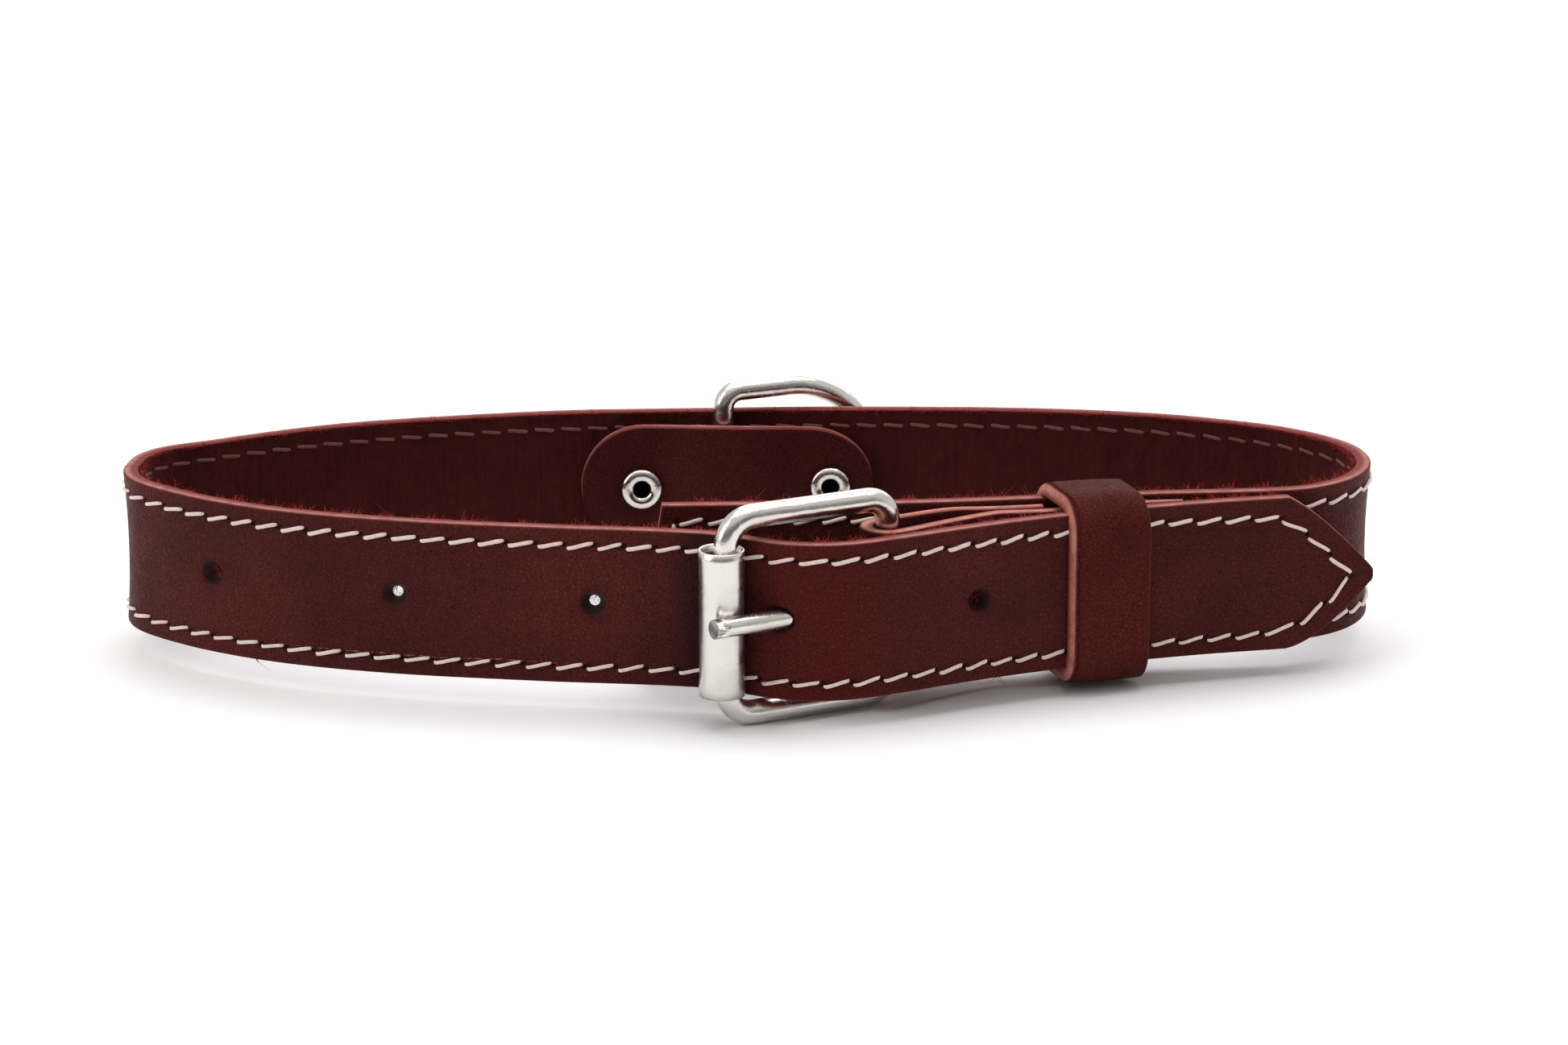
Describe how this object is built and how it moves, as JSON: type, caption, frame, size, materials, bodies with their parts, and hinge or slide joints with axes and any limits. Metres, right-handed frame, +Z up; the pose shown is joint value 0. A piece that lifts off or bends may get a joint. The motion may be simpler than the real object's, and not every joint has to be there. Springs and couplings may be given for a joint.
{
  "type": "dog collar",
  "caption": "Leather dog collar in burgundy with stitched edges, punched holes, a roller buckle, a keeper loop and a riveted D-ring, fastened and standing on its lower edge.",
  "frame": {"origin": "middle of the collar's outline, at the height of the surface that it stands on", "axes": "+Z is up along the strap's width, +X runs to the right along the buckle side, +Y points from the buckle to the D-ring"},
  "size_m": [0.2034, 0.098, 0.0359],
  "materials": {
    "strap_leather": "semi-matte dyed leather with pale cut edges and a dark flesh side",
    "thread": "waxed cream thread",
    "nickel": "polished nickel plate"
  },
  "bodies": {
    "collar": {"strap": "strap_leather", "buckle_chape": "strap_leather", "keeper_loop": "strap_leather", "ring_patch": "strap_leather", "buckle_frame": "nickel", "buckle_tongue": "nickel", "rivet_left": "nickel", "rivet_right": "nickel"},
    "ring": {"d_ring": "nickel"},
    "roller": {"buckle_roller": "nickel"}
  },
  "joints": [
    {"name": "ring_swing", "type": "hinge", "parent": "collar", "child": "ring", "pos_m": [-0.00443, 0.03712, 0.0171], "axis": [0, 0, 1], "range_deg": [0, 138]},
    {"name": "roller_spin", "type": "hinge", "parent": "collar", "child": "roller", "pos_m": [-0.00387, -0.04063, 0.01735], "axis": [0, 0, 1], "continuous": true}
  ]
}
